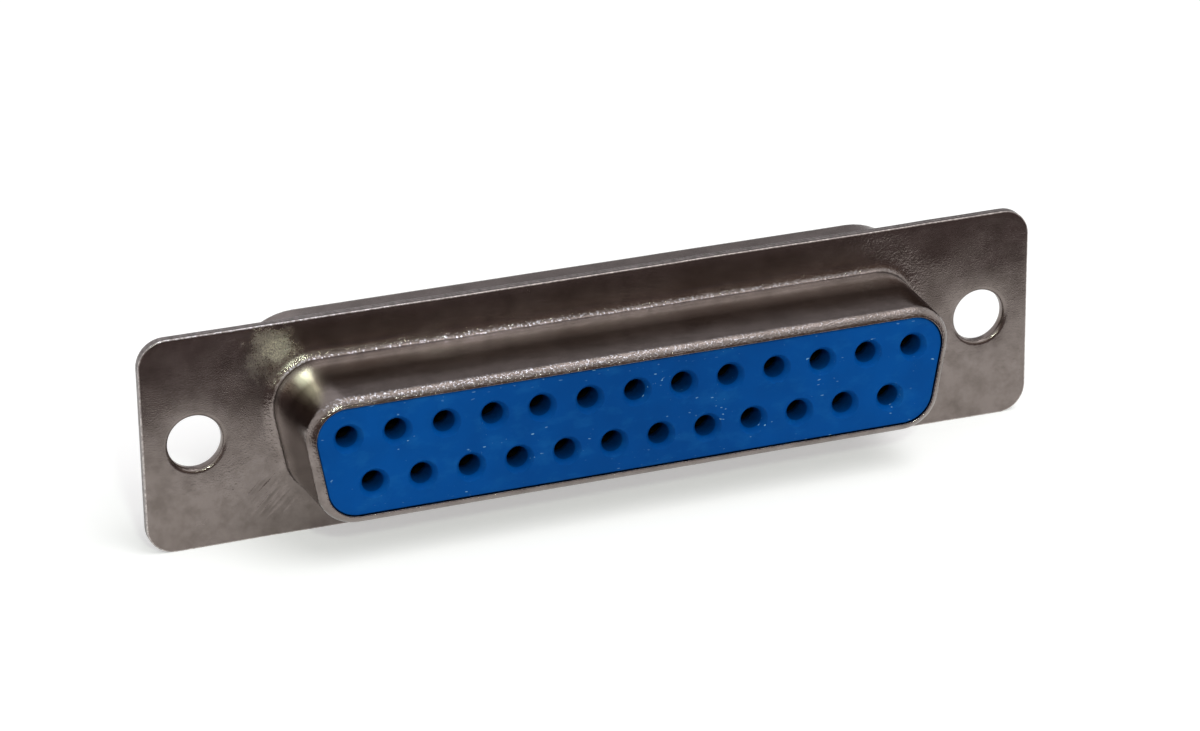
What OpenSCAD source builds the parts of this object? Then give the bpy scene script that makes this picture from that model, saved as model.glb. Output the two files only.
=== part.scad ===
// 25-way D-sub socket connector with solder cups.
// X runs along the two rows, Z points up to the wide row, and the mating side faces -Y.
// The origin lies midway between the two mounting holes, on the flange's front face.

/* [Socket grid] */
// Distance between neighbouring sockets in a row
pitch = 2.77; // [2.6:0.01:3]
// Distance between the two rows
row_gap = 2.84; // [2.7:0.01:3.1]

/* [Flange] */
// Thickness of the steel sheet that both shells are pressed from
sheet = 0.3; // [0.2:0.05:0.4]
// From an end socket of the wide row to the mounting hole beyond it
ear = 6.9; // [6.6:0.05:8]
// From a mounting hole to the flange's end
ear_end = 3; // [2.8:0.1:5]
// Height of the flange
flange_h = 12.55; // [12.4:0.05:16]
// Radius of the flange's corners
flange_corner = 1.6; // [0.5:0.1:2.5]
// Diameter of the mounting holes
hole_d = 3.1; // [3:0.05:3.4]
// Radius of the mounting hole's drawn front edge
hole_mouth = 0.28; // [0.1:0.02:0.3]
// Width of the collar's rolled edge behind the rear shell
roll_w = 0.35; // [0.2:0.05:0.5]
// Thickness of the collar's rolled edge
roll_t = 0.25; // [0.15:0.05:0.3]

/* [Snout] */
// From the end sockets' axes to the snout's outside, at the flange
snout_r = 2.55; // [2.5:0.05:2.9]
// How far the snout's rim stands in front of the flange
snout_reach = 5.84; // [5:0.02:8]
// Lean of the snout's walls, in degrees
snout_lean = 2.7; // [0:0.1:3.5]
// Radius of the hollow corner between flange and snout
snout_fillet = 0.6; // [0.2:0.1:0.9]
// Outside radius of the snout's rim
rim_round = 0.7; // [0.5:0.05:0.9]
// Width of the rim around the moulding's face
rim_w = 0.53; // [0.4:0.01:0.6]

/* [Tub] */
// From the end sockets' axes to the tub's outside
tub_r = 3.96; // [3.8:0.02:4.05]
// Depth of the tub behind the flange
tub_depth = 3.6; // [3:0.1:6]
// Radius of the hollow corner between flange and tub
tub_fillet = 0.5; // [0.2:0.1:0.7]
// Outside radius of the tub's rim
tub_round = 0.6; // [0.5:0.05:0.9]
// Width of the tub's rim around the rear moulding
tub_rim_w = 1.5; // [1:0.1:1.8]

/* [Mouldings] */
// Clearance between the mouldings and the shells
play = 0.05; // [0.02:0.01:0.1]
// Gap around a moulding's face, inside the rim
face_gap = 0.1; // [0.05:0.01:0.2]
// How far the front face lies behind the snout's rim
face_sink = 0.14; // [0:0.02:0.3]
// Thickness of the front moulding's foot
foot_t = 1.6; // [1.2:0.1:2.2]
// How far the rear moulding stands out of the tub
rear_stand = 0.8; // [0.3:0.1:2]
// Chamfer on the edges of both mouldings' faces
face_chamfer = 0.08; // [0.02:0.02:0.2]

/* [Socket mouths] */
// Diameter of the mouth that guides a pin
mouth_d = 1.2; // [1.1:0.02:1.4]
// Length of the straight part of the mouth
mouth_len = 1.2; // [0.3:0.1:1.5]
// Diameter of the countersink at the face
sink_d = 1.66; // [1.5:0.02:1.9]
// Depth of the countersink
sink_depth = 0.5; // [0.2:0.05:0.8]

/* [Contacts] */
// Bore of a socket contact, for a 1.02 mm pin
pin_bore = 1.04; // [1.02:0.01:1.1]
// Outside diameter of the socket barrel
barrel_d = 1.7; // [1.5:0.05:1.8]
// Width of the slot between the two tines
slot_w = 0.24; // [0.15:0.01:0.4]
// Length of that slot
slot_len = 3.5; // [2:0.1:3.8]
// Depth of the pin bore
bore_len = 4.5; // [4:0.1:4.8]
// Radial clearance between a contact and the moulding
contact_play = 0.08; // [0.04:0.01:0.1]
// Gap between the barrel's tip and the mouth's shoulder
tip_gap = 0.1; // [0.05:0.05:0.4]
// Diameter of the collar that holds the contact
collar_d = 2.14; // [2.05:0.01:2.2]
// Thickness of that collar
collar_t = 0.6; // [0.3:0.1:0.9]
// Diameter of the shank behind the collar
shank_d = 1.3; // [1:0.05:1.5]

/* [Solder cups] */
// Outside diameter of a solder cup
cup_d = 1.76; // [1.5:0.02:2]
// Bore of a solder cup
cup_bore = 1.26; // [1:0.02:1.34]
// Length of bare shank between the moulding and the cup
shank_bare = 0.7; // [0.3:0.1:2]
// Length of a solder cup
cup_len = 4; // [3.6:0.1:6]
// Depth of a cup's bore
cup_depth = 3; // [2.5:0.1:3.2]
// Length over which the cup is cut open
scoop_len = 2.3; // [1:0.1:2.8]

/* [Hidden] */
$fn = 64;
// Sockets in the wide row, and in the narrow row, which is staggered by half a pitch
wide = 13;
narrow = wide - 1;
// Lean of the D's two sides, in degrees
side_lean = 10;
// Steps in each arc of an outline or a section
arc_steps = 8;
// How far a cut runs past the face that it opens
eps = 0.01;

// Heights are measured in front of the flange's front face, so those behind it are negative.
joint_h = -sheet;
back_h = -2 * sheet;
rim_h = snout_reach;
face_h = rim_h - face_sink;
split_h = joint_h - foot_t;
tub_rim_h = back_h - tub_depth;
rear_face_h = tub_rim_h - rear_stand;
mouth_end_h = face_h - sink_depth - mouth_len;
tip_h = mouth_end_h - tip_gap;
collar_h = split_h + collar_t;
cup_top_h = rear_face_h - shank_bare;
cup_end_h = cup_top_h - cup_len;

// Every outline is the same D, drawn at its own distance from these four corner centres.
end_x = (wide - 1) / 2 * pitch;
corner_z = row_gap / 2;
low_end_x = end_x - row_gap * tan(side_lean);
corners = [
    [[end_x, corner_z], -side_lean, 90],
    [[-end_x, corner_z], 90, 180 + side_lean],
    [[-low_end_x, -corner_z], 180 + side_lean, 270],
    [[low_end_x, -corner_z], 270, 360 - side_lean]
];

hole_x = end_x + ear;
hole_r = hole_d / 2;
collar_r = hole_r + sheet;
// How far the drawn part of a shell runs past its fillet, and how much of that the flange overlaps
skirt_w = sheet / 2;
lap = skirt_w / 2;
flange_l = 2 * (hole_x + ear_end);

gold = [0.85, 0.66, 0.3];
plate = [0.58, 0.55, 0.52];
blue = [0.04, 0.28, 0.55];

function contact_name(k) = str("contact_", k < 9 ? "0" : "", k + 1);
contact_names = [for (k = [0:wide + narrow - 1]) contact_name(k)];

// Seen from the mating side, sockets 1 to 13 run from right to left in the wide row, then 14 to 25.
function socket_at(k) = k < wide
    ? [end_x - k * pitch, corner_z]
    : [end_x - (k - wide + 0.5) * pitch, -corner_z];

function arc(centre, r, from, to) =
    [for (i = [0:arc_steps]) let (a = from + (to - from) * i / arc_steps) centre + r * [cos(a), sin(a)]];

// The D at distance r from its corner centres.
function d_outline(r) = [for (c = corners) each arc(c[0], r, c[1], c[2])];

// A drawn wall leaves the flange at distance root and leans in by lean degrees up to its rim.
function fillet_centre(root, fillet, lean) =
    let (s = fillet * (1 - sin(lean)) / cos(lean))
    [root - s * sin(lean) + fillet * cos(lean), fillet];
function rim_centre(root, reach, round, lean) =
    let (s = (reach - round * (1 - sin(lean))) / cos(lean))
    [root - s * sin(lean) - round * cos(lean), reach - round];
function opening_r(root, reach, round, lean, width) =
    rim_centre(root, reach, round, lean)[0] + round - width;
function arc_end(centre, r, limit) = limit > centre[0] ? acos((limit - centre[0]) / r) : 90;
function flat_part(centre, limit, heights) = limit > centre[0] ? [] : [for (h = heights) [limit, h]];

// Section of a drawn shell, as distance from the corner centres against height above its flange.
function drawn_section(root, fillet, reach, round, lean, width, skirt) =
    let (
        low = fillet_centre(root, fillet, lean),
        top = rim_centre(root, reach, round, lean),
        opening = opening_r(root, reach, round, lean, width),
        inner = round - sheet
    )
    concat(
        [[skirt, -sheet], [skirt, 0]],
        arc(low, fillet, 270, 180 + lean),
        arc(top, round, lean, arc_end(top, round, opening)),
        flat_part(top, opening, [reach, reach - sheet]),
        arc(top, inner, arc_end(top, inner, opening), lean),
        arc(low, fillet + sheet, 180 + lean, 270)
    );

// Section of a moulding's shoulder and face, which follow the inside of such a shell.
function moulding_section(root, reach, round, lean, width, face) =
    let (
        top = rim_centre(root, reach, round, lean),
        boss = opening_r(root, reach, round, lean, width) - face_gap,
        inner = round - sheet - play
    )
    concat(
        arc(top, inner, lean, arc_end(top, inner, boss)),
        flat_part(top, boss, [top[1] + inner]),
        [[boss, face - face_chamfer], [boss - face_chamfer, face]]
    );

// The same section turned over, for what is behind the rear shell's flange.
function behind(section) =
    [for (i = [len(section) - 1:-1:0]) [section[i][0], back_h - section[i][1]]];

// Turns a shape drawn with its height along Z to lie with that height towards -Y.
module stand() {
    rotate([90, 0, 0])
    children();
}

// Carries a closed section around the D.
module ring_d(section) {
    rows = [for (p = section) [for (q = d_outline(p[0])) [q[0], q[1], p[1]]]];
    n = len(rows);
    m = len(rows[0]);
    polyhedron(
        points = [for (row = rows) each row],
        faces = [
            for (i = [0:n - 1], j = [0:m - 1])
            let (up = (i + 1) % n, next = (j + 1) % m)
            [i * m + j, up * m + j, up * m + next, i * m + next]
        ]
    );
}

// Fills the D between the first and the last point of a section.
module solid_d(section) {
    rows = [for (p = section) [for (q = d_outline(p[0])) [q[0], q[1], p[1]]]];
    n = len(rows);
    m = len(rows[0]);
    polyhedron(
        points = [for (row = rows) each row],
        faces = concat(
            [[for (j = [0:m - 1]) j]],
            [[for (j = [m - 1:-1:0]) (n - 1) * m + j]],
            [
                for (i = [0:n - 2], j = [0:m - 1])
                let (next = (j + 1) % m)
                [i * m + j, (i + 1) * m + j, (i + 1) * m + next, i * m + next]
            ]
        )
    );
}

// A rounded plate whose top face is at height 0.
module flange_plate(thickness) {
    x = flange_l / 2 - flange_corner;
    y = flange_h / 2 - flange_corner;
    translate([-x, -flange_h / 2, -thickness])
    cube([2 * x, flange_h, thickness]);
    for (side = [0, 180])
    rotate([0, 0, side]) {
        translate([x, -y, -thickness])
        cube([flange_corner, 2 * y, thickness]);
        for (turn = [0, 1])
        mirror([0, turn, 0])
        translate([x, y, -thickness])
        rotate_extrude(angle = 90)
        square([flange_corner, thickness]);
    }
}

// The flange with its D-shaped window and its two mounting holes cut out.
module flange(window, hole) {
    difference() {
        flange_plate(sheet);
        translate([0, 0, -2 * sheet])
        linear_extrude(height = 3 * sheet)
        polygon(d_outline(window));
        for (side = [-1, 1])
        translate([side * hole_x, 0, -2 * sheet])
        cylinder(r = hole, h = 3 * sheet);
    }
}

// The collar of one mounting hole: drawn back through the rear shell and rolled out behind it.
module hole_collar() {
    end_h = back_h - roll_t;
    rotate_extrude()
    polygon(concat(
        arc([hole_r + hole_mouth, -hole_mouth], hole_mouth, 90, 180),
        arc([hole_r + roll_w, end_h + roll_w], roll_w, 180, 270),
        [
            [collar_r + roll_w, end_h], [collar_r + roll_w, back_h],
            [collar_r, back_h], [collar_r, joint_h],
            [collar_r + sheet, joint_h], [collar_r + sheet, 0]
        ]
    ));
}

module front_shell() {
    skirt = snout_r + snout_fillet + skirt_w;
    color(plate)
    stand() {
        flange(skirt - lap, collar_r);
        ring_d(drawn_section(snout_r, snout_fillet, snout_reach, rim_round, snout_lean, rim_w, skirt));
        for (side = [-1, 1])
        translate([side * hole_x, 0, 0])
        hole_collar();
    }
}

module rear_shell() {
    skirt = tub_r + tub_fillet + skirt_w;
    color(plate)
    stand() {
        translate([0, 0, joint_h])
        flange(skirt - lap, collar_r + play);
        ring_d(behind(drawn_section(tub_r, tub_fillet, tub_depth, tub_round, 0, tub_rim_w, skirt)));
    }
}

// The stepped hole that a front moulding has for each contact.
module socket_hole() {
    rotate_extrude()
    polygon([
        [0, face_h + eps], [sink_d / 2, face_h + eps], [sink_d / 2, face_h],
        [mouth_d / 2, face_h - sink_depth], [mouth_d / 2, mouth_end_h],
        [barrel_d / 2 + contact_play, mouth_end_h], [barrel_d / 2 + contact_play, collar_h],
        [collar_d / 2 + contact_play, collar_h], [collar_d / 2 + contact_play, split_h - eps],
        [0, split_h - eps]
    ]);
}

module front_insulator() {
    foot_r = tub_r - sheet - play;
    shoulder = moulding_section(snout_r, snout_reach, rim_round, snout_lean, rim_w, face_h);
    neck_r = shoulder[0][0] + (shoulder[0][1] - joint_h) * tan(snout_lean);
    color(blue)
    stand()
    difference() {
        solid_d(concat([[foot_r, split_h], [foot_r, joint_h], [neck_r, joint_h]], shoulder));
        for (k = [0:wide + narrow - 1])
        translate(socket_at(k))
        socket_hole();
    }
}

module rear_insulator() {
    foot_r = tub_r - sheet - play;
    shoulder = moulding_section(tub_r, tub_depth, tub_round, 0, tub_rim_w, back_h - rear_face_h);
    color(blue)
    stand()
    difference() {
        solid_d(behind(concat([[foot_r, back_h - split_h]], shoulder)));
        for (k = [0:wide + narrow - 1])
        translate(concat(socket_at(k), rear_face_h - eps))
        cylinder(d = shank_d + 2 * contact_play, h = split_h - rear_face_h + 2 * eps);
    }
}

// One turned contact on its own axis, with its solder cup cut open towards +Y of the drawing.
module contact_body() {
    lead = (barrel_d - pin_bore) / 4;
    difference() {
        rotate_extrude()
        polygon([
            [0, tip_h - bore_len], [pin_bore / 2, tip_h - bore_len], [pin_bore / 2, tip_h - lead],
            [pin_bore / 2 + lead, tip_h], [barrel_d / 2 - lead, tip_h], [barrel_d / 2, tip_h - lead],
            [barrel_d / 2, collar_h], [collar_d / 2, collar_h], [collar_d / 2, split_h],
            [shank_d / 2, split_h], [shank_d / 2, cup_top_h], [cup_d / 2, cup_top_h - lead],
            [cup_d / 2, cup_end_h], [cup_bore / 2, cup_end_h], [cup_bore / 2, cup_end_h + cup_depth],
            [0, cup_end_h + cup_depth + cup_bore / 4]
        ]);
        translate([-slot_w / 2, -barrel_d, tip_h - slot_len])
        cube([slot_w, 2 * barrel_d, slot_len + eps]);
        translate([-cup_d, 0, cup_end_h])
        rotate([90, 0, 90])
        linear_extrude(height = 2 * cup_d)
        polygon([[0, -eps], [cup_d, -eps], [cup_d, scoop_len + cup_d], [0, scoop_len]]);
    }
}

module contact(k) {
    color(gold)
    stand()
    translate(socket_at(k))
    rotate([0, 0, k < wide ? 0 : 180])
    contact_body();
}

front_shell();
rear_shell();
front_insulator();
rear_insulator();
for (k = [0:wide + narrow - 1])
contact(k);
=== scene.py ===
import math

import bmesh
import bpy
import numpy as np
from mathutils import Matrix, Vector, noise
from mathutils.geometry import delaunay_2d_cdt


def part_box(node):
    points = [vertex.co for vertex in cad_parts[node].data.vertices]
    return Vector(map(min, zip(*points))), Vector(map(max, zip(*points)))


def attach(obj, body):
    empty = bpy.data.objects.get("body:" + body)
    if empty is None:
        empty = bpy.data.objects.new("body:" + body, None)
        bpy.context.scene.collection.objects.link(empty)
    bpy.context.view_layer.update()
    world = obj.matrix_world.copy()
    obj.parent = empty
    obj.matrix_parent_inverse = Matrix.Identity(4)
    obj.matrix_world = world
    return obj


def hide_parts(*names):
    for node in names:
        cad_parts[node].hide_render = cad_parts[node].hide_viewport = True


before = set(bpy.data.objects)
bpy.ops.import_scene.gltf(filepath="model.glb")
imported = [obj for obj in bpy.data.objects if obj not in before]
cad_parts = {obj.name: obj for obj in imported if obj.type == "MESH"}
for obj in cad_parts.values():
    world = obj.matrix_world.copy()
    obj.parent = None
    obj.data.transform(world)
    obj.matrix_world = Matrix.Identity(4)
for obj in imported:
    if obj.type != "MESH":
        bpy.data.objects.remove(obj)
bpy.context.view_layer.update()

# Camera: a long lens at the photograph's own viewpoint, in front of the mating side, to the left
# and above it, so that both ends of the flange look nearly the same height.
mm = 0.001
viewpoint = Vector((-79.822, -210.807, 96.307)) * mm
swing, tilt, roll = math.radians(20.741), math.radians(22.971), math.radians(-0.740)
sensor_w, focal_length = 36, 131.16
clip_near, clip_far = 0.02, 20


def placed(name, data):
    """A new object in the scene, made of a mesh, a lamp or a camera."""
    made = bpy.data.objects.new(name, data)
    bpy.context.scene.collection.objects.link(made)
    return made


lens = bpy.data.cameras.new("camera")
lens.sensor_width = sensor_w
lens.lens = focal_length
lens.clip_start, lens.clip_end = clip_near, clip_far
camera = placed("camera", lens)
camera.matrix_world = (
    Matrix.Translation(viewpoint)
    @ Matrix.Rotation(-swing, 4, "Z")
    @ Matrix.Rotation(math.pi / 2 - tilt, 4, "X")
    @ Matrix.Rotation(roll, 4, "Z")
)
bpy.context.scene.camera = camera
bpy.context.scene.view_settings.view_transform = "Standard"

# Front shell: tin-plated steel sheet, pressed in one piece into a flange and a D-shaped snout. Its
# rim curls in over the moulding, and a collar at each mounting hole is rolled over at the back.
pitch, row_gap, wide_row = 2.77, 2.84, 13
side_lean = math.radians(10)
end_x = (wide_row - 1) / 2 * pitch
corner_z = row_gap / 2
low_end_x = end_x - row_gap * math.tan(side_lean)
sheet = 0.3
back_h = -2 * sheet
flange_l, flange_h = 2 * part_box("front_shell")[1].x / mm, 2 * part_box("front_shell")[1].z / mm
flange_corner = 1.6
press_edge, burr_edge = 0.08, 0.03
ear = 6.9
hole_x = end_x + ear
hole_r, hole_mouth = 1.55, 0.28
collar_r = hole_r + sheet
roll_w, roll_t, roll_curl = 0.35, 0.25, 0.08
snout_r, snout_reach, snout_lean = 2.53, 5.84, math.radians(2.4)
snout_fillet, snout_bell = 0.7, 0.3
rim_round, rim_w, rim_cut = 0.7, 0.53, 0.05
skirt_w = 0.15

# Sizes are in millimetres. Every outline is the same D, at its own distance r from four corner
# centres, and a height h is measured in front of the flange's face, so that y is -h.
right, up, left, down = 0.0, math.pi / 2, math.pi, 1.5 * math.pi
d_corners = [
    ((end_x, corner_z), right - side_lean, up),
    ((-end_x, corner_z), up, left + side_lean),
    ((-low_end_x, -corner_z), left + side_lean, down),
    ((low_end_x, -corner_z), down, 2 * math.pi - side_lean),
]


def arc(centre, radius, start, end, steps, tall=1):
    """Points along a round arc, or along an oval one that is so many times as tall as it is wide."""
    angles = np.linspace(start, end, steps + 1)
    return [(centre[0] + radius * math.cos(a), centre[1] + tall * radius * math.sin(a)) for a in angles]


def spine(corners, arc_steps, flat_steps):
    """Once round an outline: the corner centre that each point swings about, and its direction."""
    centres, outs = [], []
    for k, (centre, start, end) in enumerate(corners):
        for a in np.linspace(start, end, arc_steps + 1):
            centres.append(centre)
            outs.append((math.cos(a), math.sin(a)))
        following = corners[(k + 1) % len(corners)][0]
        for t in np.linspace(0, 1, flat_steps[k % 2] + 1)[1:-1]:
            centres.append(tuple(np.array(centre) * (1 - t) + np.array(following) * t))
            outs.append((math.cos(end), math.sin(end)))
    return np.array(centres), np.array(outs)


def flange_spine():
    """The flange's outline, a rectangle with round corners, as a spine."""
    x, z = flange_l / 2 - flange_corner, flange_h / 2 - flange_corner
    corners = [
        ((x, z), right, up),
        ((-x, z), up, left),
        ((-x, -z), left, down),
        ((x, -z), down, 2 * math.pi),
    ]
    return spine(corners, arc_steps=10, flat_steps=(110, 24))


def ring(x, z, steps):
    """A round outline about one centre, as a spine."""
    a = np.linspace(0, 2 * math.pi, steps, endpoint=False)
    return np.tile((x, z), (steps, 1)), np.column_stack([np.cos(a), np.sin(a)])


class Skin:
    """A surface put together from swept sections and flat plates, in millimetres."""

    def __init__(self):
        self.verts, self.faces, self.coats = [], [], []

    def sweep(self, path, section, coat=0):
        """Carries a section of points (r, h) once round a spine, in one of the piece's materials."""
        centres, outs = path
        first, count = len(self.verts), len(centres)
        for r, h in section:
            points = centres + r * outs
            self.verts += [(x, -h, z) for x, z in points]
        for i in range(len(section) - 1):
            for j in range(count):
                a, b = first + i * count + j, first + i * count + (j + 1) % count
                self.faces.append((a, b, b + count, a + count))
                self.coats.append(coat)

    def plate(self, h, loops, keep, grid, coat=0):
        """A flat face at height h between the loops, with grid points in it where keep says so."""
        points, edges = [], []
        for centres, outs, r in loops:
            first, loop = len(points), centres + r * outs
            points += [tuple(p) for p in loop]
            edges += [(first + i, first + (i + 1) % len(loop)) for i in range(len(loop))]
        points += [tuple(p) for p in grid[keep(grid, 1)]]
        every_triangle, merge = 0, 1e-6
        flat, _, triangles, _, _, _ = delaunay_2d_cdt(
            [Vector(p) for p in points], edges, [], every_triangle, merge
        )
        flat = np.array([tuple(p) for p in flat])
        middles = flat[np.array(triangles)].mean(axis=1)
        first = len(self.verts)
        self.verts += [(x, -h, z) for x, z in flat]
        for triangle, inside in zip(triangles, keep(middles, 0)):
            if inside:
                self.faces.append(tuple(first + i for i in triangle))
                self.coats.append(coat)

    def piece(self, name, materials, bend=None, smooth_angle=32):
        """The finished piece: welded, bent point by point, brought to metres and given its materials."""
        mesh = bpy.data.meshes.new(name)
        mesh.from_pydata(self.verts, [], self.faces)
        mesh.polygons.foreach_set("material_index", self.coats)
        work = bmesh.new()
        work.from_mesh(mesh)
        bmesh.ops.remove_doubles(work, verts=work.verts, dist=1e-4)
        bmesh.ops.dissolve_degenerate(work, edges=work.edges, dist=1e-5)
        bmesh.ops.recalc_face_normals(work, faces=work.faces)
        for v in work.verts:
            if bend:
                v.co = bend(v.co)
            v.co *= mm
        work.to_mesh(mesh)
        work.free()
        for material in materials:
            mesh.materials.append(material)
        mesh.shade_smooth()
        mesh.set_sharp_from_angle(angle=math.radians(smooth_angle))
        return placed(name, mesh)


def hex_grid(length, height, spacing):
    """Points evenly over a rectangle, each row staggered against the last."""
    rows = np.arange(-height / 2, height / 2, spacing * math.sqrt(0.75))
    return np.array([
        (x + (k % 2) * spacing / 2, z)
        for k, z in enumerate(rows)
        for x in np.arange(-length / 2, length / 2, spacing)
    ])


def d_distance(points):
    """Distance of each point from the four-sided figure between the D's corner centres."""
    centres = np.array([c[0] for c in d_corners])
    inside = np.ones(len(points), bool)
    nearest = np.full(len(points), np.inf)
    for a, b in zip(centres, np.roll(centres, -1, axis=0)):
        side, to = b - a, points - a
        t = np.clip(to @ side / (side @ side), 0, 1)
        nearest = np.minimum(nearest, np.linalg.norm(to - t[:, None] * side, axis=1))
        inside &= side[0] * to[:, 1] - side[1] * to[:, 0] > 0
    return np.where(inside, 0, nearest)


# How far the flange's grid points stay from its edges, and the slack in telling what lies on a plate
flange_margin, slack = 0.2, 0.001


def on_flange(window_r, hole, inset):
    """Tests which points lie on the flange's sheet, or where clear is 1, well within its edges."""
    half_l, half_h = flange_l / 2, flange_h / 2

    def keep(points, clear):
        x, z = np.abs(points).T
        margin = clear * flange_margin
        past_x = np.maximum(x - (half_l - flange_corner), 0)
        past_z = np.maximum(z - (half_h - flange_corner), 0)
        return (
            (np.hypot(past_x, past_z) < flange_corner - inset - margin)
            & (x < half_l - inset - margin)
            & (z < half_h - inset - margin)
            & (d_distance(points) > window_r - slack + margin)
            & (np.hypot(x - hole_x, z) > hole - slack + margin)
        )
    return keep


def drawn_section(root, fillet, bell, reach, rim, lean, width, skirt):
    """Section of a drawn shell, from its flange's front round the rim to the flange's back.

    The hollow corner at its root is an oval, fillet wide and bell tall. The rim is a round edge, and
    a rim that is wider than its round edge runs on as a flat lip.
    """
    sin, cos = math.sin(lean), math.cos(lean)
    low = (root + (math.hypot(fillet * cos, bell * sin) - bell * sin) / cos, bell)
    front_tall, back_tall = bell / fillet, (bell + sheet) / (fillet + sheet)
    front_end, back_end = (left + math.atan(tall * math.tan(lean)) for tall in (front_tall, back_tall))
    up_wall = (reach - rim * (1 - sin)) / cos
    top = (root - up_wall * sin - rim * cos, reach - rim)
    inner = rim - sheet
    lip = top[0] + rim - width + rim_cut

    section = [(skirt, 0)]
    section += arc(low, fillet, down, front_end, 28, front_tall)
    start, end = np.array(section[-1]), np.array((top[0] + rim * cos, top[1] + rim * sin))
    section += [tuple(start * (1 - t) + end * t) for t in np.linspace(0, 1, 19)[1:-1]]
    if width < rim:
        turn, back = (math.acos(min(1, (lip - top[0]) / radius)) for radius in (rim, inner))
        section += arc(top, rim, lean, turn, 18)
        outer_h, inner_h = section[-1][1], top[1] + inner * math.sin(back)
    else:
        back = up
        section += arc(top, rim, lean, up, 18)
        section += [(r, reach) for r in np.linspace(top[0], lip, 6)[1:]]
        outer_h, inner_h = reach, reach - sheet
    section += arc((lip, outer_h - rim_cut), rim_cut, up, left, 4)[1:]
    section += arc((lip, inner_h + rim_cut), rim_cut, left, down, 4)
    section += arc(top, inner, back, lean, 10)
    section += arc(low, fillet + sheet, back_end, down, 16, back_tall)
    section.append((skirt, -sheet))
    return [section[0]] + [b for a, b in zip(section, section[1:]) if math.dist(a, b) > 1e-4]


# What drawing and handling did to the flange. Waves: depth, length and seed. The hollow round each
# hole and the swelling at the snout's foot: depth, place and width. Dents near the snout's corners:
# place, size and depth, where a negative depth stands out.
waves = [(0.08, 7, 1.3), (0.022, 2.6, 5.1)]
hollow_depth, hollow_r, hollow_w = 0.035, 1.8, 0.55
swell, swell_w = 0.02, 0.6
dents = [
    ((-19.4, -3.9), 0.5, 0.05),
    ((-20.1, -2.9), 0.5, 0.03),
    ((18.8, 4.6), 0.8, -0.035),
    ((21.2, 3.8), 1.0, -0.035),
    ((22.9, 4.9), 0.8, -0.02),
    ((20.2, 5.6), 0.8, 0.02),
]


def soft_noise(x, z, wave, seed):
    return noise.noise(Vector((x / wave, z / wave, seed)))


def flange_warp(x, z):
    """How far the flange is pushed back there, in millimetres."""
    warp = sum(depth * soft_noise(x, z, wave, seed) for depth, wave, seed in waves)
    for side in (-1, 1):
        away = math.hypot(x - side * hole_x, z)
        warp += hollow_depth * math.exp(-((away - hollow_r) / hollow_w) ** 2)
    for at, size, depth in dents:
        warp += depth * math.exp(-((x - at[0]) ** 2 + (z - at[1]) ** 2) / (2 * size * size))
    past_fold = d_distance(np.array([(x, z)]))[0] - snout_r - snout_fillet
    return warp - swell * math.exp(-past_fold / swell_w)


def share(past, reach):
    """0 up to the start of a stretch, and 1 from its end on."""
    return min(1, max(0, past / reach))


def bend_front(p):
    """The front shell as handled: the warp fades up the snout, whose long walls ripple a little."""
    fade_from, fade_over = 0.3, 2.5
    ripple_h, ripple_l, ripple_from, seed = 0.012, 4.2, 1.5, 9.7
    x, h, z = p.x, -p.y, p.z
    flat = 1 - share(h - fade_from, fade_over)
    ripple = ripple_h * soft_noise(x + 0.4 * z, h * 1.6, ripple_l, seed) * share(h, ripple_from)
    return Vector((x, -h + flat * flange_warp(x, z), z + math.copysign(ripple, z)))


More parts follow.
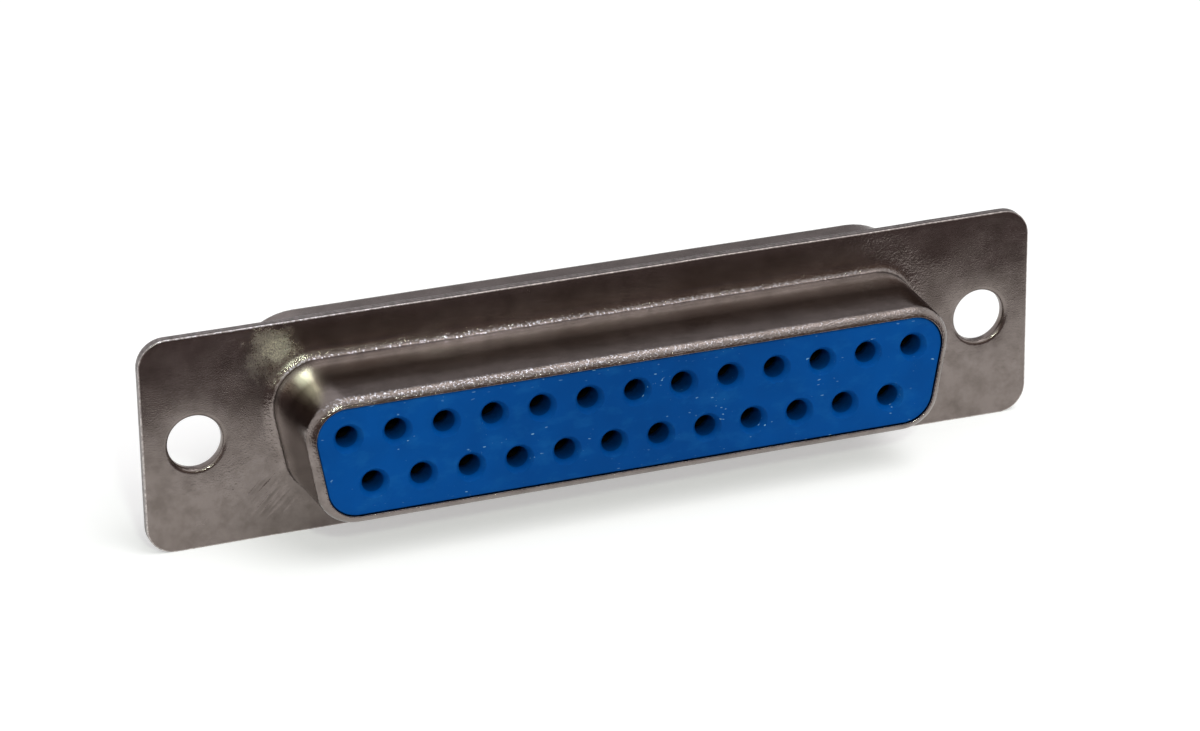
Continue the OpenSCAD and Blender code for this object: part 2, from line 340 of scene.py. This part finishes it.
class Finish:
    """What a material, or the world, is painted with. Colours are red, green and blue."""

    def __init__(self, owner, shader="Principled BSDF"):
        owner.use_nodes = True
        self.owner = owner
        self.nodes, self.links = owner.node_tree.nodes, owner.node_tree.links
        self.shader = self.nodes[shader]

    def put(self, value, socket):
        """Links a socket to a value that comes from another node, or sets it to a plain one."""
        if isinstance(value, bpy.types.NodeSocket):
            self.links.new(value, socket)
        elif socket.type == "RGBA":
            socket.default_value = (*value, 1)
        else:
            socket.default_value = value

    def place(self):
        """Place on the object, in metres from its origin."""
        return self.nodes.new("ShaderNodeTexCoord").outputs["Object"]

    def along(self, axis):
        parts = self.nodes.new("ShaderNodeSeparateXYZ")
        self.put(self.place(), parts.inputs["Vector"])
        return parts.outputs[axis]

    def distance(self, centre):
        """Distance from a place that is given in millimetres."""
        far = self.nodes.new("ShaderNodeVectorMath")
        far.operation = "DISTANCE"
        self.put(self.place(), far.inputs[0])
        self.put(Vector(centre) * mm, far.inputs[1])
        return far.outputs["Value"]

    def ramp(self, value, none, full):
        """0 where the value is none, 1 where it is full, and even between."""
        span = self.nodes.new("ShaderNodeMapRange")
        self.put(none, span.inputs["From Min"])
        self.put(full, span.inputs["From Max"])
        self.put(value, span.inputs["Value"])
        return span.outputs["Result"]

    def past(self, axis, none, full):
        """0 on one side of a band across the axis and 1 on the other, with its edges in millimetres."""
        return self.ramp(self.along(axis), none * mm, full * mm)

    def noise(self, scale, detail=2, rough=0.5, stretch=(1, 1, 1), place=None):
        """Noise whose grain is 1 / scale metres across, drawn out along the axes where stretch is small."""
        mapping = self.nodes.new("ShaderNodeMapping")
        self.put(stretch, mapping.inputs["Scale"])
        self.put(place or self.place(), mapping.inputs["Vector"])
        texture = self.nodes.new("ShaderNodeTexNoise")
        self.put(mapping.outputs["Vector"], texture.inputs["Vector"])
        for socket, value in (("Scale", scale), ("Detail", detail), ("Roughness", rough)):
            self.put(value, texture.inputs[socket])
        return texture.outputs["Fac"]

    def mixed(self, factor, a, b, kind="RGBA"):
        """The colour between a and b, or the number if the kind is FLOAT."""
        mix = self.nodes.new("ShaderNodeMix")
        mix.data_type = kind
        a_socket, b_socket, result = {"FLOAT": (2, 3, 0), "RGBA": (6, 7, 2)}[kind]
        for value, socket in ((factor, 0), (a, a_socket), (b, b_socket)):
            self.put(value, mix.inputs[socket])
        return mix.outputs[result]

    def maths(self, operation, a, b=0):
        made = self.nodes.new("ShaderNodeMath")
        made.operation = operation
        self.put(a, made.inputs[0])
        self.put(b, made.inputs[1])
        return made.outputs["Value"]

    def product(self, first, *others):
        for other in others:
            first = self.maths("MULTIPLY", first, other)
        return first

    def bumped(self, height, depth, strength=1, below=None):
        """The surface raised by up to depth, in millimetres, on top of the bumps below."""
        bump = self.nodes.new("ShaderNodeBump")
        self.put(height, bump.inputs["Height"])
        self.put(depth * mm, bump.inputs["Distance"])
        self.put(strength, bump.inputs["Strength"])
        if below:
            self.put(below, bump.inputs["Normal"])
        return bump.outputs["Normal"]

    def dressed(self, looks):
        """The material itself, once the shader's sockets are set or linked as looks says."""
        for socket, value in looks.items():
            self.put(value, self.shader.inputs[socket])
        return self.owner


# Colours of the plate, from its fingermarks to its painted sheen, painted highlight patch and painted
# glints, and of its torn edges and painted edge highlight. The painted highlight patch and the creases lie
# near the snout's left corners.
plate_dark, plate_light, fingermark = (0.22, 0.186, 0.171), (0.245, 0.209, 0.195), (0.165, 0.138, 0.125)
painted_sheen, patch_highlight, glint = (0.9, 0.855, 0.83), (0.9, 0.88, 0.74), (0.55, 0.54, 0.58)
torn_dark, torn_light = (0.13, 0.115, 0.11), (0.27, 0.24, 0.235)
edge_dark, edge_lit, edge_lit_top_left = (0.3, 0.265, 0.255), (0.62, 0.57, 0.54), (0.95, 0.93, 0.98)
highlight_patch_at, creased_at = (-19.1, 0, 4.6), (-19.5, 0, -4)


def plated_steel():
    """Dull tin plate, cloudy and fingered, with painted sheen at the snout's foot, a painted highlight patch
    and painted glints.
    """
    steel = Finish(bpy.data.materials.new("plated_steel"))
    in_front = steel.past("Y", 0.25, 0.15)

    cloudy = steel.ramp(steel.noise(260, 3), 0.35, 0.65)
    tone = steel.mixed(cloudy, plate_dark, plate_light)
    fingered = steel.ramp(steel.noise(800, 5, 0.65), 0.42, 0.68)
    tone = steel.mixed(fingered, tone, fingermark)
    # Painted sheen: a bright band up the snout's walls just in front of the flange, full strength on the top
    # wall, stands in for reflected overhead light.
    atop = steel.mixed(steel.past("Z", 1.5, 3), 0.4, 1.0, "FLOAT")
    painted_sheen_band = steel.product(steel.past("Y", -0.35, -1.05), steel.past("Y", -2.65, -1.15), atop)
    tone = steel.mixed(painted_sheen_band, tone, painted_sheen)

    # Painted highlight: a ragged, grainy bright patch on the flange beside the snout's upper left corner,
    # also rougher there.
    ragged = steel.product(steel.noise(900, 3, 0.6), 2.8 * mm)
    painted_highlight = steel.ramp(steel.maths("ADD", steel.distance(highlight_patch_at), ragged), 3.2 * mm, 1.7 * mm)
    grain = steel.ramp(steel.noise(11000, 3, 0.6), 0.25, 0.65)
    painted_highlight = steel.product(painted_highlight, steel.past("Y", -0.3, -0.1), grain, in_front)
    tone = steel.mixed(painted_highlight, tone, patch_highlight)

    # Painted glints: bright grains along the top of the rim and of the snout's foot, fading out towards the
    # right end.
    peel = steel.noise(7000, 2, 0.6)
    rim = steel.past("Y", -5.2, -5.4)
    crest = steel.product(steel.past("Y", -0.12, -0.18), steel.past("Y", -0.5, -0.35))
    glints = steel.product(steel.ramp(peel, 0.52, 0.66), steel.maths("MAXIMUM", rim, crest))
    glints = steel.product(glints, steel.past("Z", 3, 3.6), steel.past("X", 22, -6))
    tone = steel.mixed(glints, tone, glint)

    smear = steel.ramp(steel.noise(700, 4, 0.6, (0.5, 1, 1)), 0.35, 0.7)
    gloss = steel.mixed(smear, 0.12, 0.2, "FLOAT")
    flat = steel.past("Y", -0.15, -0.06)
    gloss = steel.mixed(flat, gloss, steel.maths("ADD", gloss, 0.08), "FLOAT")
    gloss = steel.mixed(painted_highlight, gloss, 0.45, "FLOAT")

    rolled = steel.noise(5000, 2, 0.5, (0.06, 1, 1))
    pits = steel.ramp(steel.noise(13000, 1), 0.5, 0.75)
    fold = steel.product(steel.past("Y", -0.01, -0.06), steel.past("Y", -0.9, -0.4))
    bent = steel.maths("MAXIMUM", rim, fold)
    slanted = steel.nodes.new("ShaderNodeMapping")
    slanted.vector_type = "TEXTURE"
    steel.put((0, math.radians(-45), 0), slanted.inputs["Rotation"])
    steel.put((7, 1, 1), slanted.inputs["Scale"])
    steel.put(steel.place(), slanted.inputs["Vector"])
    streaks = steel.ramp(steel.noise(3000, 1, place=slanted.outputs["Vector"]), 0.35, 0.65)
    creased = steel.ramp(steel.distance(creased_at), 1.6 * mm, 0.6 * mm)
    bumps = steel.bumped(rolled, 0.0012)
    bumps = steel.bumped(pits, 0.0022, below=bumps)
    bumps = steel.bumped(steel.product(bent, peel), 0.036, below=bumps)
    bumps = steel.bumped(steel.product(creased, streaks, in_front), 0.05, below=bumps)
    return steel.dressed({"Base Color": tone, "Metallic": 1, "Roughness": gloss, "Normal": bumps})


def sheared_steel():
    """The sheet's sheared edge, bare and torn."""
    steel = Finish(bpy.data.materials.new("sheared_steel"))
    torn = steel.noise(6000, 3, 0.6, (1, 0.3, 1))
    tone = steel.mixed(steel.ramp(torn, 0.3, 0.7), torn_dark, torn_light)
    bumps = steel.bumped(torn, 0.004)
    return steel.dressed({"Base Color": tone, "Metallic": 1, "Roughness": 0.38, "Normal": bumps})


def edge_highlight_finish():
    """The rounded edge of the flange's front, painted bright as a highlight, most of all at the top on the
    left.
    """
    steel = Finish(bpy.data.materials.new("edge_highlight_finish"))
    painted_highlight = steel.noise(4500, 3, 0.7)
    # Painted highlight: the edge is painted bright in grains, brightest along the top on the left.
    top_left = steel.product(steel.past("X", -6, -18), steel.past("Z", 5.5, 6.1))
    shine = steel.mixed(top_left, edge_lit, edge_lit_top_left)
    tone = steel.mixed(steel.ramp(painted_highlight, 0.42, 0.66), edge_dark, shine)
    bumps = steel.bumped(painted_highlight, 0.01)
    return steel.dressed({"Base Color": tone, "Metallic": 1, "Roughness": 0.3, "Normal": bumps})


plated = plated_steel()
sheared = sheared_steel()
highlit_edge = edge_highlight_finish()
torn_coat, highlit_coat = 1, 2
d_spine = spine(d_corners, arc_steps=14, flat_steps=(90, 8))
outline = flange_spine()
holes = [ring(side * hole_x, 0, 88) for side in (-1, 1)]
grid = hex_grid(flange_l, flange_h, spacing=0.4)
skirt = snout_r + snout_fillet + skirt_w

skin = Skin()
snout = drawn_section(snout_r, snout_fillet, snout_bell, snout_reach, rim_round, snout_lean, rim_w, skirt)
skin.sweep(d_spine, snout)
for side_h, inset, hole in ((0, press_edge, hole_r + hole_mouth), (-sheet, burr_edge, collar_r)):
    loops = [(*outline, flange_corner - inset), (*d_spine, skirt), *((*mouth, hole) for mouth in holes)]
    skin.plate(side_h, loops, on_flange(skirt, hole, inset), grid)
edge = arc((flange_corner - press_edge, -press_edge), press_edge, up, right, 5)
skin.sweep(outline, edge, highlit_coat)
burr = [edge[-1], (flange_corner, -sheet + burr_edge), (flange_corner - burr_edge, -sheet)]
skin.sweep(outline, burr, torn_coat)
roll_end, roll_r = back_h - roll_t, collar_r + roll_w
collar = arc((hole_r + hole_mouth, -hole_mouth), hole_mouth, up, left, 8)
collar += arc((hole_r + roll_w, roll_end + roll_w), roll_w, left, down, 8)
collar += arc((roll_r - roll_curl, roll_end + roll_curl), roll_curl, -up, right, 4)
collar += arc((roll_r - roll_curl, back_h - roll_curl), roll_curl, right, up, 4)
collar += [(collar_r, back_h), (collar_r, -sheet)]
for mouth in holes:
    skin.sweep(mouth, collar)
front_shell = skin.piece("front_shell_pressing", [plated, sheared, highlit_edge], bend_front)
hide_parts("front_shell")
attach(front_shell, "root")

# Rear shell: the same plated sheet, pressed into a second flange behind the first and a deeper tub
# that holds the feet of both mouldings. The front shell's collars clamp it through its two holes.
tub_r, tub_depth, tub_fillet, tub_round, tub_rim_w = 3.96, 3.6, 0.5, 0.6, 1.5
play = 0.05
seat_r = collar_r + play


def bend_rear(p):
    """The rear shell as handled: the same warp fades down the tub, whose long walls ripple too."""
    fade_from, fade_over = 0.9, 2
    ripple_h, ripple_l, ripple_start, ripple_from, seed = 0.02, 6, 1, 1.5, 3.3
    x, h, z = p.x, -p.y, p.z
    flat = 1 - share(-h - fade_from, fade_over)
    ripple = ripple_h * soft_noise(x, h, ripple_l, seed) * share(-h - ripple_start, ripple_from)
    return Vector((x, -h + flat * flange_warp(x, z), z + math.copysign(ripple, z)))


skin = Skin()
skirt = tub_r + tub_fillet + skirt_w
tub = drawn_section(tub_r, tub_fillet, tub_fillet, tub_depth, tub_round, 0, tub_rim_w, skirt)
skin.sweep(d_spine, [(r, back_h - h) for r, h in reversed(tub)])
for side_h, inset in ((-sheet, burr_edge), (back_h, press_edge)):
    loops = [(*outline, flange_corner - inset), (*d_spine, skirt), *((*mouth, seat_r) for mouth in holes)]
    skin.plate(side_h, loops, on_flange(skirt, seat_r, inset), grid)
edge = arc((flange_corner - press_edge, back_h + press_edge), press_edge, right, -up, 5)
burr = [(flange_corner - burr_edge, -sheet), (flange_corner, -sheet - burr_edge), edge[0]]
skin.sweep(outline, burr, torn_coat)
skin.sweep(outline, edge)
for mouth in holes:
    skin.sweep(mouth, [(seat_r, -sheet), (seat_r, back_h)], torn_coat)
rear_shell = skin.piece("rear_shell_pressing", [plated, sheared], bend_rear)
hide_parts("rear_shell")
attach(rear_shell, "root")

# Front moulding: blue glass-filled plastic, moulded in one piece, with a countersunk hole for each
# pin. Its foot sits in the tub, and its face lies just behind the snout's rim.
face_gap, face_sink, face_chamfer = 0.05, 0.14, 0.05
face_h = snout_reach - face_sink
foot_t, foot_r = 1.6, tub_r - sheet - play
split_h = -sheet - foot_t
sink_r, sink_depth = 0.87, 0.35
mouth_r, mouth_len = 0.62, 1.35
mouth_h = face_h - sink_depth
shoulder_h = mouth_h - mouth_len
barrel_r, contact_collar_r, collar_t = 0.85, 1.07, 0.6
contact_play = 0.08
barrel_seat, collar_seat = barrel_r + contact_play, contact_collar_r + contact_play
collar_h = split_h + collar_t
sockets = [(end_x - k * pitch, corner_z) for k in range(wide_row)]
sockets += [(end_x - (k + 0.5) * pitch, -corner_z) for k in range(wide_row - 1)]
# Blues of the plastic: two random tones and a darker one for painted shade at mid-length; then smudge, speck
# and the painted shade in the bores.
blue_dark, blue_light, blue_shaded = (0.0003, 0.064, 0.28), (0.0003, 0.072, 0.312), (0.0003, 0.035, 0.16)
smudge, speck, painted_bore_shade = (0.02, 0.2, 0.5), (0.3, 0.58, 0.78), (0, 0.004, 0.01)


def blue_plastic():
    """Satin blue plastic, smudged and specked by use, with painted shade at mid-length and in its bores."""
    plastic = Finish(bpy.data.materials.new("blue_plastic"))
    cloudy = plastic.ramp(plastic.noise(500, 3), 0.35, 0.65)
    tone = plastic.mixed(cloudy, blue_dark, blue_light)
    # Painted shade: the face is darkened towards mid-length.
    painted_middle_shade = plastic.ramp(plastic.maths("ABSOLUTE", plastic.along("X")), 13 * mm, 3 * mm)
    tone = plastic.mixed(plastic.product(painted_middle_shade, 0.35), tone, blue_shaded)
    smudged = plastic.ramp(plastic.noise(1100, 3, 0.6, (0.6, 1, 1)), 0.52, 0.72)
    tone = plastic.mixed(plastic.product(smudged, 0.14), tone, smudge)

    specks = plastic.ramp(plastic.noise(9500, 1), 0.76, 0.81)
    nicks = plastic.ramp(plastic.noise(9000, 0, 0.5, (0.4, 1, 0.8)), 0.79, 0.84)
    handled = plastic.ramp(plastic.noise(450), 0.54, 0.66)
    near_rim = plastic.ramp(plastic.maths("ABSOLUTE", plastic.along("Z")), 2.6 * mm, 3.2 * mm)
    handled = plastic.maths("MAXIMUM", handled, plastic.product(near_rim, 0.7))
    marks = plastic.product(plastic.maths("MAXIMUM", specks, nicks), handled, 0.7)
    tone = plastic.mixed(marks, tone, speck)

    # Painted shade: the bores are darkened past their countersinks, and more so deep inside.
    bored = plastic.past("Y", -mouth_h - 0.02, -mouth_h + 0.02)
    deep = plastic.past("Y", -mouth_h + 0.8, -mouth_h + 1.2)
    inside = plastic.maths("MAXIMUM", plastic.product(bored, 0.4), plastic.product(deep, 0.8))
    inside = plastic.product(inside, plastic.past("Y", 4.2, 3.2))
    tone = plastic.mixed(inside, tone, painted_bore_shade)

    fine = plastic.noise(9000, 3, 0.6)
    gloss = plastic.mixed(fine, 0.38, 0.5, "FLOAT")
    bumps = plastic.bumped(fine, 0.01, strength=0.25)
    return plastic.dressed({
        "Base Color": tone, "Roughness": gloss, "Specular IOR Level": 0.05, "Normal": bumps
    })


def moulding_section(root, reach, rim, lean, width, face):
    """Section of a moulding's shoulder and face, which follow the inside of its shell."""
    sin, cos = math.sin(lean), math.cos(lean)
    up_wall = (reach - rim * (1 - sin)) / cos
    top = (root - up_wall * sin - rim * cos, reach - rim)
    boss = top[0] + rim - width - face_gap
    inner = rim - sheet - play
    turn = math.acos(min(1, (boss - top[0]) / inner)) if boss > top[0] else up
    section = arc(top, inner, lean, turn, 10)
    if boss <= top[0]:
        section.append((boss, top[1] + inner))
    section += arc((boss - face_chamfer, face - face_chamfer), face_chamfer, right, up, 5)
    return section


face_margin, hole_margin = 0.16, 0.14


def clear_of_sockets(limit, hole):
    """Tests which points lie on a moulding's face, or where clear is 1, well within its edges."""
    def keep(points, clear):
        good = d_distance(points) < limit - slack / 2 - clear * face_margin
        for x, z in sockets:
            away = np.hypot(points[:, 0] - x, points[:, 1] - z)
            good &= away > hole - slack + clear * hole_margin
        return good
    return keep


blue = blue_plastic()
bores = [ring(x, z, 40) for x, z in sockets]
face_grid = hex_grid(2 * end_x + 2 * tub_r, row_gap + 2 * tub_r, spacing=0.33)
shoulder = moulding_section(snout_r, snout_reach, rim_round, snout_lean, rim_w, face_h)
neck_r = shoulder[0][0] + (shoulder[0][1] + sheet) * math.tan(snout_lean)
skin = Skin()
skin.sweep(d_spine, [(foot_r, split_h), (foot_r, -sheet), (neck_r, -sheet), *shoulder])
flare = np.array(arc((0, 0), 1, 0.55, 0.95, 8))
flare = (flare - flare[0]) / (flare[-1] - flare[0])
hole_section = [(sink_r - (sink_r - mouth_r) * inward, face_h - sink_depth * deep) for deep, inward in flare]
hole_section += [(mouth_r, shoulder_h), (barrel_seat, shoulder_h)]
hole_section += [(barrel_seat, collar_h), (collar_seat, collar_h), (collar_seat, split_h)]
for side_h, limit, hole in ((face_h, shoulder[-1][0], sink_r), (split_h, foot_r, collar_seat)):
    loops = [(*d_spine, limit), *((*bore, hole) for bore in bores)]
    skin.plate(side_h, loops, clear_of_sockets(limit, hole), face_grid)
for bore in bores:
    skin.sweep(bore, hole_section)
front_moulding = skin.piece("front_moulding", [blue])
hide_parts("front_insulator")
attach(front_moulding, "root")

# Rear moulding: the same blue plastic, pushed into the tub from inside before the shells close. Its
# 25 bores pass the contacts' shanks, and its face stands out of the tub.
rear_stand = 0.8
rear_face_h = back_h - tub_depth - rear_stand
shank_r = 0.65
shank_seat, bore_edge = shank_r + contact_play, 0.06
shoulder = moulding_section(tub_r, tub_depth, tub_round, 0, tub_rim_w, back_h - rear_face_h)
skin = Skin()
skin.sweep(d_spine, [(foot_r, split_h), *((r, back_h - h) for r, h in shoulder)])
rear_sides = [(split_h, foot_r, shank_seat), (rear_face_h, shoulder[-1][0], shank_seat + bore_edge)]
for side_h, limit, hole in rear_sides:
    loops = [(*d_spine, limit), *((*bore, hole) for bore in bores)]
    skin.plate(side_h, loops, clear_of_sockets(limit, hole), face_grid)
hole_section = [(shank_seat, split_h)]
hole_section += arc((shank_seat + bore_edge, rear_face_h + bore_edge), bore_edge, left, down, 4)
for bore in bores:
    skin.sweep(bore, hole_section)
rear_moulding = skin.piece("rear_moulding", [blue])
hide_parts("rear_insulator")
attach(rear_moulding, "root")

# Contacts: each is turned from brass rod and gold flashed, with a bore and a slot that grip a pin in
# front, a collar that the mouldings trap, and a cup behind that is cut open for a wire.
tip_gap = 0.1
tip_h = shoulder_h - tip_gap
pin_r, bore_len = 0.52, 4.5
slot_w, slot_len = 0.24, 3.5
shank_bare, cup_len = 0.7, 4
cup_top_h = rear_face_h - shank_bare
cup_end_h = cup_top_h - cup_len
cup_r, cup_bore, cup_depth, cup_slope = 0.88, 0.63, 3, 0.2
scoop_len, scoop_z = 2.3, 0.01
turned_edge, turned_angle = 0.06, 35
# Gold tones, and the near-black painted shade at the contacts' tips.
gold_dark, gold_light, contact_shade = (0.62, 0.44, 0.19), (0.74, 0.56, 0.28), (0.02, 0.017, 0.014)


def gold_flash():
    """Thin gold with fine turning marks, and painted shade at the tip inside the holes."""
    flash = Finish(bpy.data.materials.new("gold_flash"))
    cloudy = flash.noise(1500, 3)
    # Painted shade: the front end of each contact, deep in its hole, is darkened nearly to black and made
    # rough.
    painted_deep_shade = flash.past("Y", 1.8 - tip_h, 0.9 - tip_h)
    tone = flash.mixed(flash.ramp(cloudy, 0.35, 0.7), gold_dark, gold_light)
    tone = flash.mixed(painted_deep_shade, tone, contact_shade)
    gloss = flash.mixed(cloudy, 0.22, 0.38, "FLOAT")
    gloss = flash.mixed(painted_deep_shade, gloss, 0.95, "FLOAT")
    turning_marks = flash.noise(9000, 2, 0.5, (0.1, 1, 0.1))
    bumps = flash.bumped(turning_marks, 0.01, strength=0.35)
    return flash.dressed({"Base Color": tone, "Metallic": 1, "Roughness": gloss, "Normal": bumps})


def turned_edges(points, radius, steps=3):
    """Rounds every corner of a turned section by the same small radius."""
    rounded = [points[0]]
    for a, b, c in zip(points, points[1:], points[2:]):
        a, b, c = (np.array(p, float) for p in (a, b, c))
        reach = min(radius, np.linalg.norm(a - b) / 2.2, np.linalg.norm(c - b) / 2.2)
        start = b + (a - b) / np.linalg.norm(a - b) * reach
        end = b + (c - b) / np.linalg.norm(c - b) * reach
        for t in np.linspace(0, 1, steps + 1):
            rounded.append(tuple(start * (1 - t) ** 2 + b * 2 * t * (1 - t) + end * t ** 2))
    return rounded + [points[-1]]


def cutter(points, width):
    """A prism of that width along X over an outline in Y and Z."""
    mesh = bpy.data.meshes.new("cutter")
    n = len(points)
    verts = [(side * width / 2 * mm, y * mm, z * mm) for side in (-1, 1) for y, z in points]
    faces = [tuple(range(n - 1, -1, -1)), tuple(range(n, 2 * n))]
    faces += [(i, (i + 1) % n, n + (i + 1) % n, n + i) for i in range(n)]
    mesh.from_pydata(verts, [], faces)
    return placed("cutter", mesh)


gold = gold_flash()
lead = (barrel_r - pin_r) / 2
turning = [(0, tip_h - bore_len), (pin_r, tip_h - bore_len), (pin_r, tip_h - lead)]
turning += [(pin_r + lead * 0.8, tip_h), (barrel_r - lead * 0.6, tip_h), (barrel_r, tip_h - lead)]
turning += [(barrel_r, collar_h), (contact_collar_r, collar_h), (contact_collar_r, split_h)]
turning += [(shank_r, split_h), (shank_r, cup_top_h), (cup_r, cup_top_h - cup_slope)]
turning += [(cup_r, cup_end_h), (cup_bore, cup_end_h), (cup_bore, cup_end_h + cup_depth)]
turning += [(0, cup_end_h + cup_depth + cup_bore / 2)]
skin = Skin()
skin.sweep(ring(0, 0, 48), turned_edges(turning, turned_edge))
turned = skin.piece("contact_blank", [gold], smooth_angle=turned_angle)
slot_start, slot_end, slot_top = -tip_h - 0.05, -tip_h + slot_len, 1
slot = [(slot_start, -slot_top), (slot_end, -slot_top), (slot_end, slot_top), (slot_start, slot_top)]
scoop_start, scoop_end, scoop_top = -cup_end_h + 0.1, -cup_end_h - scoop_len, cup_r * 2
scoop = [(scoop_start, scoop_z), (scoop_start, scoop_top)]
scoop += [(scoop_end - scoop_top, scoop_top), (scoop_end, scoop_z)]
cuts = [cutter(slot, slot_w), cutter(scoop, cup_r * 3)]
for cut in cuts:
    modifier = turned.modifiers.new("cut", "BOOLEAN")
    modifier.operation, modifier.solver, modifier.object = "DIFFERENCE", "EXACT", cut
bpy.context.view_layer.update()
cut_mesh = bpy.data.meshes.new_from_object(turned.evaluated_get(bpy.context.evaluated_depsgraph_get()))
work = bmesh.new()
work.from_mesh(cut_mesh)
bmesh.ops.remove_doubles(work, verts=work.verts, dist=2e-3 * mm)
work.to_mesh(cut_mesh)
work.free()
cut_mesh.set_sharp_from_angle(angle=math.radians(turned_angle))
for spare in (turned, *cuts):
    bpy.data.objects.remove(spare)
for k, (x, z) in enumerate(sockets):
    contact = placed(f"socket_contact_{k + 1:02d}", cut_mesh)
    contact.location = (x * mm, 0, z * mm)
    contact.rotation_euler = (0, 0 if z > 0 else math.pi, 0)
    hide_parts(f"contact_{k + 1:02d}")
    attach(contact, "root")

# Studio: a white floor under the flange's lower edge and a white surround, with a softbox overhead,
# broad daylight from high in front and a small lamp in front that lights the snout's left end. A dark
# card in front and a grey one behind are seen only in the metal's reflections.
floor_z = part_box("front_shell")[0].z
floor_reach, card_w = 6000, 1200
ambient, floor_lift = 0.42, 0.4
white, floor_grey = (1, 1, 1), (0.8, 0.8, 0.8)
dark_side_view = [
    (-16, 0.4), (-30, 0.6), (-60, 1), (-110, 4), (-180, 18),
    (-260, 50), (-330, 100), (-380, 170), (-410, 250), (-425, 340),
]
grey_side_view = [(200, 25), (330, 70), (420, 150), (460, 280), (440, 420), (380, 560)]
dark_low, dark_high = (0.18, 0.142, 0.142), (0.27, 0.203, 0.168)
grey_left, grey_right = (0.8, 0.78, 0.8), (0.4, 0.38, 0.39)


def white_from(finish):
    """1 where the camera sees it, straight or through a reflection or clear material."""
    path = finish.nodes.new("ShaderNodeLightPath")
    seen = path.outputs["Is Camera Ray"]
    for kind in ("Is Glossy Ray", "Is Transmission Ray"):
        seen = finish.maths("MAXIMUM", seen, path.outputs[kind])
    return seen


def screen(name, side_view, width, material):
    """A sheet of that width along X, bent to points of Y and height above the floor, in millimetres."""
    half_w = width / 2 * mm
    verts = [(side * half_w, y * mm, floor_z + rise * mm) for y, rise in side_view for side in (-1, 1)]
    faces = [(2 * i, 2 * i + 1, 2 * i + 3, 2 * i + 2) for i in range(len(side_view) - 1)]
    mesh = bpy.data.meshes.new(name)
    mesh.from_pydata(verts, [], faces)
    mesh.materials.append(material)
    return placed(name, mesh)


def reflected_card(name, side_view, band, first, second):
    """A glowing card that only reflections show, and that turns from one colour to another in a band."""
    card = Finish(bpy.data.materials.new(name))
    card.nodes.remove(card.shader)
    card.shader = card.nodes.new("ShaderNodeEmission")
    card.put(card.shader.outputs["Emission"], card.nodes["Material Output"].inputs["Surface"])
    glow = card.dressed({"Color": card.mixed(card.past(*band), first, second)})
    made = screen(name, side_view, card_w, glow)
    made.visible_camera = False
    made.visible_diffuse = False
    made.visible_shadow = False
    made.visible_transmission = False
    return made


def lamp(name, kind, energy, colour, towards, away=0, aimed_at=(0, 0, 0)):
    """A lamp that faces the place it is aimed at, from that direction and so many millimetres away."""
    light = bpy.data.lights.new(name, kind)
    light.energy = energy
    light.color = colour
    towards = Vector(towards).normalized()
    made = placed(name, light)
    made.location = (Vector(aimed_at) + towards * away) * mm
    made.rotation_euler = towards.to_track_quat("Z", "Y").to_euler()
    return made


surround = Finish(bpy.data.worlds.new("surround"), "Background")
brightness = surround.mixed(white_from(surround), ambient, 1.0, "FLOAT")
bpy.context.scene.world = surround.dressed({"Color": white, "Strength": brightness})

paper = Finish(bpy.data.materials.new("floor"))
floor = screen("floor", [(-floor_reach, 0), (floor_reach, 0)], 2 * floor_reach, paper.dressed({
    "Base Color": floor_grey,
    "Roughness": 1,
    "Specular IOR Level": 0,
    "Emission Color": white,
    "Emission Strength": paper.product(white_from(paper), floor_lift),
}))
card = reflected_card("dark_card", dark_side_view, ("Z", 10, 80), dark_low, dark_high)
back_card = reflected_card("grey_card", grey_side_view, ("X", 80, 115), grey_left, grey_right)

softbox = lamp("softbox", "AREA", 0.16, (1, 0.98, 1), (0.315, -0.08, 0.945), away=400)
softbox.data.shape = "RECTANGLE"
softbox.data.size, softbox.data.size_y = 200 * mm, 140 * mm
daylight = lamp("daylight", "SUN", 1.1, white, (0.25, -0.5, 0.83))
daylight.data.angle = math.radians(40)
daylight.visible_glossy = False
left_end, greenish = (-18, 0, 5), (0.85, 1, 0.85)
front_lamp = lamp("front_lamp", "AREA", 0.2, greenish, (-0.12, -0.84, 0.53), away=300, aimed_at=left_end)
front_lamp.data.shape = "DISK"
front_lamp.data.size = 26 * mm
front_lamp.visible_camera = False
